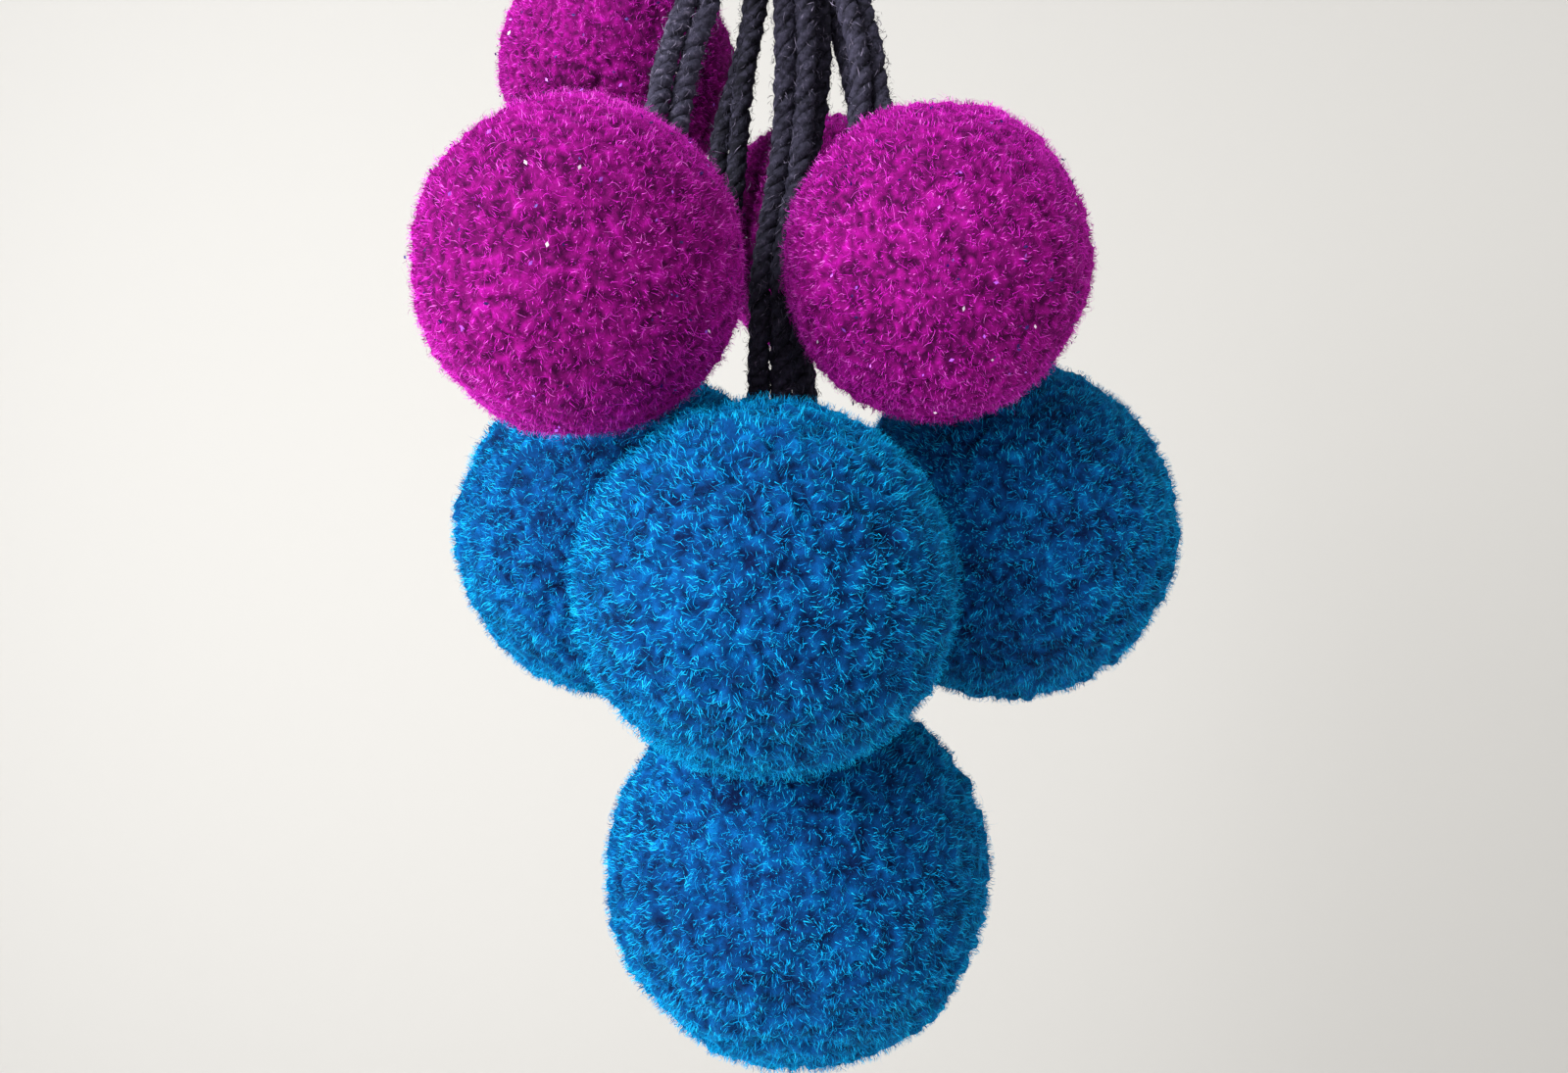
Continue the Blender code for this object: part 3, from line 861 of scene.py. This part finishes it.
def plied(line, width, seed, rng):
    """Wound plies along a line, with the fuzz on them."""
    tangents, firsts, seconds = frames_along(line)
    along = distances_along(line)
    ply_radius = width * PLY_SHARE
    offset = width * PLY_SPREAD
    parts = []
    for ply in range(PLIES):
        wobble = LAY_WOBBLE * np.sin(along / LAY_WOBBLE_LENGTH + ply)
        turn = 2 * math.pi * (along / LAY_TURN + ply / PLIES) + wobble
        out = firsts * np.cos(turn)[:, None] + seconds * np.sin(turn)[:, None]
        centres = line + out * offset
        run = unit(np.gradient(centres, axis=0))
        over = unit(out - run * (out * run).sum(1, keepdims=True))
        across = np.cross(run, over)
        spots = np.stack([along / SWELL_LENGTH, along * 0 + ply, along * 0], axis=1)
        swell = 1 + SWELL * smooth_noise(spots, seed)
        ring = 2 * math.pi * np.arange(PLY_SIDES) / PLY_SIDES
        spoke = over[:, None] * np.cos(ring)[None, :, None]
        spoke = spoke + across[:, None] * np.sin(ring)[None, :, None]
        points = centres[:, None] + spoke * (ply_radius * swell)[:, None, None]
        # Painted shade in the groove, paler towards the ply's crown
        crown = 0.5 + 0.5 * np.cos(ring)
        tones = PLY_TONE + PLY_GROOVE_SHADE * crown[None] + PLY_SPECKLE * rng.random((len(line), PLY_SIDES))
        parts.append(tube_faces(points, tones, spoke))
        parts.append(ply_fuzz(centres, run, spoke, ply_radius, line, tangents, rng))
    return joined(parts)


def tube_faces(points, tones, normals):
    """A closed tube over rings of shape (stops, sides, 3)."""
    stops, sides = points.shape[:2]
    here = np.arange(stops - 1)[:, None] * sides + np.arange(sides)[None]
    beside = np.arange(stops - 1)[:, None] * sides + (np.arange(sides)[None] + 1) % sides
    faces = np.stack([here, beside, beside + sides, here, beside + sides, here + sides], axis=-1)
    last = (stops - 1) * sides
    caps = [(0, k + 1, k) for k in range(1, sides - 1)]
    caps += [(last, last + k, last + k + 1) for k in range(1, sides - 1)]
    triangles = np.concatenate([faces.reshape(-1, 3), np.array(caps)])
    return points.reshape(-1, 3), triangles, tones.ravel(), normals.reshape(-1, 3)


def ply_fuzz(centres, run, spoke, ply_radius, line, tangents, rng):
    """Loose ends of wool that lie along a ply and stand off it a little."""
    count = int(distances_along(line)[-1] / MM * FUZZ_PER_MM / PLIES)
    stop = rng.integers(0, len(centres), count)
    side = rng.integers(0, PLY_SIDES, count)
    ways = spoke[stop, side]
    length = rng.uniform(*FUZZ_LENGTH, (count, 1))
    flyaway = rng.random((count, 1)) < FLYAWAY_SHARE
    length = np.where(flyaway, length * FLYAWAY_STRETCH, length)
    heading = run[stop] * rng.choice([-1.0, 1.0], (count, 1))
    start = heading + ways * rng.uniform(*FUZZ_OUTWARD, (count, 1))
    start = unit(start + rng.normal(0, FUZZ_SCATTER[0], ways.shape))
    lift = np.where(flyaway, FLYAWAY_LIFT, FUZZ_CLING)
    bend = unit(start + rng.normal(0, FUZZ_SCATTER[1], ways.shape) + ways * lift)
    root = centres[stop] + ways * ply_radius * FUZZ_ROOT
    middle = root + start * length * 0.5
    spines = np.stack([root, middle, middle + bend * length * 0.5], axis=1)
    away = spines - line[stop][:, None]
    onward = (away * tangents[stop][:, None]).sum(2, keepdims=True) * tangents[stop][:, None]
    away -= onward
    away *= np.minimum(1, FUZZ_REACH / np.maximum(np.linalg.norm(away, axis=2, keepdims=True), 1e-9))
    spines = line[stop][:, None] + onward + away
    # Nothing reaches past the cord's ends
    for end, way in ((0, -tangents[0]), (len(line) - 1, tangents[-1])):
        close = np.abs(stop - end) * RING_PITCH < 2 * FUZZ_LENGTH[1]
        past = ((spines[close] - line[end]) @ way).clip(0)
        spines[close] -= past[..., None] * way
    own = FUZZ_TONE + FUZZ_TONE_RANGE * rng.beta(*FUZZ_TONE_SKEW, (count, 1))
    # Painted shade at the root and painted light at the tip
    tones = own + np.array(FUZZ_ROOT_SHADE_TIP_LIGHT)
    widths = FUZZ_WIDTH * rng.uniform(*FUZZ_WIDTHS, count)
    return outward(lenses, spines, ways, widths, tones, FIBRE_SHADE, rng)


def dress_cord(name, line, width, node, seed, materials, light_and_shade_shift=0.0):
    """A plied cord along a line that stands for a CAD node. Its last argument makes its wool paler with
    painted light, and darker with painted shade where it is below 0.
    """
    rng = np.random.default_rng(CORD_SEED + seed)
    points, triangles, tones, normals = plied(line, width, seed, rng)
    made = mesh_from(name, points, triangles, tones + light_and_shade_shift, materials["black_cord"], normals)
    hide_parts(node)
    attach(made, "root")
    return made


def level_way(turn):
    """The level direction at an angle in degrees from +X towards +Y."""
    angle = math.radians(turn)
    return np.array([math.cos(angle), math.sin(angle), 0])


def cord_stops(ball, side):
    """The stops of one cord of a pair, from the binding into its pompom's pile."""
    stops = []
    for place in ROUTES[ball.name]:
        aside = level_way(place.turn) * (side * place.apart / 2)
        stops.append(np.array([place.x, place.y, place.z]) + aside)
    stops.insert(1, stops[0] - [0, 0, END_LEAD])
    seat = seat_of(ball)
    last = ROUTES[ball.name][-1]
    across = level_way(last.turn)
    across = unit(across - seat * (across @ seat)) * (side * last.apart / 2)
    mouth = centre_of(ball) + seat * ball.radius * (1 - SEAT_DEPTH) + across
    stops.append(mouth + seat * END_LEAD)
    stops.append(mouth - seat * ball.radius * END_TUCK)
    return stops


def make_cords(materials):
    """A pair of cords for each pompom."""
    for number, ball in enumerate(BALLS):
        for side, hand in ((-1, "a"), (1, "b")):
            line = smooth_line(cord_stops(ball, side), RING_PITCH)
            own_name = ball.name + "_" + hand
            seed = 2 * number + (side > 0)
            # Painted light on the lit pair and painted shade on the shaded pair, in the wool's tone
            light_and_shade_shift = PAIR_LIGHT_AND_SHADE.get(ball.name, 0.0)
            made = dress_cord("yarn_" + own_name, line, CORD_WIDTH, "cord_" + own_name, seed,
                              materials, light_and_shade_shift)


def binding_core():
    """The bundle of gathered cords inside the binding, as a plain barrel."""
    turn = 2 * math.pi * np.arange(CORE_SIDES) / CORE_SIDES
    height = np.linspace(WRAP_BOTTOM + CORE_MARGIN, WRAP_TOP - CORE_MARGIN, CORE_ROWS)
    share = np.abs(np.linspace(-1, 1, CORE_ROWS))
    radius = (WRAP_RADIUS - WRAP_CORD_WIDTH * CORE_SINK) * (1 - CORE_TAPER * share**6)
    spoke = np.stack([np.cos(turn), np.sin(turn), 0 * turn], axis=1)
    points = spoke[None] * radius[:, None, None] + np.array([0, 0, 1]) * height[:, None, None]
    tones = np.full((CORE_ROWS, CORE_SIDES), CORE_TONE)
    return tube_faces(points, tones, np.tile(spoke, (CORE_ROWS, 1, 1)))


def make_binding(materials):
    """Turns of cord wound round a core, drawn in at both ends."""
    stops = WRAP_STEPS * WRAP_TURNS
    angle = 2 * math.pi * WRAP_TURNS * np.arange(stops) / (stops - 1)
    room = WRAP_CORD_WIDTH / 2
    climb = np.linspace(WRAP_BOTTOM + room, WRAP_TOP - room, stops)
    out = WRAP_RADIUS - room - WRAP_TAPER * np.abs(np.linspace(-1, 1, stops)) ** 8
    line = np.stack([out * np.cos(angle), out * np.sin(angle), climb], axis=1)
    wound = plied(line, WRAP_CORD_WIDTH, BINDING_NOISE, np.random.default_rng(BINDING_SEED))
    points, triangles, tones, normals = joined([binding_core(), wound])
    made = mesh_from("binding", points, triangles, tones, materials["black_cord"], normals)
    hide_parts("gather_wrap")
    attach(made, "root")


def loop_stops():
    """Half of the loop's middle line from inside the binding's top, then its mirror image."""
    foot = WRAP_TOP + LOOP_GAP
    wide = LOOP_HALF_WIDTH + LOOP_CORD_WIDTH / 2
    half = [
        (-LOOP_FOOT_APART / 2, 0, foot - LOOP_TUCK),
        (-LOOP_FOOT_APART / 2, 0, foot + END_LEAD),
        *((-out * wide, 0, down * foot) for out, down in LOOP_SIDE),
    ]
    mirrored = [(-x, y, z) for x, y, z in reversed(half)]
    return [*half, (0, 0, LOOP_CORD_WIDTH / 2), *mirrored]


def make_plane(name, place, turn, material):
    """A flat square of the stage."""
    bpy.ops.mesh.primitive_plane_add(size=STAGE_SIZE, location=place, rotation=turn)
    made = bpy.context.object
    made.name = name
    made.data.materials.append(material)


def make_light(light):
    """A square soft light that faces its target and isn't seen itself."""
    data = bpy.data.lights.new(light.name, "AREA")
    data.size = light.size
    data.energy = light.watts
    data.color = light.colour
    made = bpy.data.objects.new(light.name, data)
    made.location = light.place
    x, y, z = np.array(light.target) - np.array(light.place)
    made.rotation_euler = (math.atan2(math.hypot(x, y), -z), 0, math.atan2(y, x) - math.pi / 2)
    made.visible_camera = False
    bpy.context.scene.collection.objects.link(made)


def make_stage():
    """The floor, the backdrop, the lights and the even light of the room."""
    pale = plain_material("stage_pale", STAGE_COLOUR, STAGE_ROUGHNESS)
    make_plane("floor", (0, 0, FLOOR_Z), (0, 0, 0), pale)
    make_plane("backdrop", (0, BACKDROP_Y, 0), (math.pi / 2, 0, 0), pale)
    for light in LIGHTS:
        make_light(light)
    world = bpy.data.worlds.new("studio")
    world.use_nodes = True
    background = world.node_tree.nodes["Background"]
    background.inputs["Color"].default_value = WORLD_COLOUR
    background.inputs["Strength"].default_value = WORLD_STRENGTH
    bpy.context.scene.world = world
    bpy.context.scene.view_settings.view_transform = "Standard"


def make_camera():
    """A level camera close in front, as the photograph was taken."""
    data = bpy.data.cameras.new("camera")
    data.sensor_width = SENSOR_WIDTH
    data.lens = LENS
    data.clip_start = NEAREST_SEEN
    made = bpy.data.objects.new("camera", data)
    made.location = CAMERA_PLACE
    made.rotation_euler = (math.pi / 2, 0, 0)
    bpy.context.scene.collection.objects.link(made)
    bpy.context.scene.camera = made


def main():
    """The camera and the cords first, then the binding, the loop and the pompoms."""
    make_camera()
    make_stage()
    materials = {name: wool_material(name) for name in SHADES}
    make_cords(materials)
    make_binding(materials)
    loop = smooth_line(loop_stops(), RING_PITCH)
    dress_cord("loop_yarn", loop, LOOP_CORD_WIDTH, "hanging_loop", LOOP_SEED, materials)
    ball_mesh = icosphere()
    glitter = glitter_material()
    for seed, ball in enumerate(BALLS, 1):
        make_pile(ball, seed, ball_mesh, materials)
        if ball.slot == "magenta_wool":
            make_glitter(ball, seed, glitter)


main()
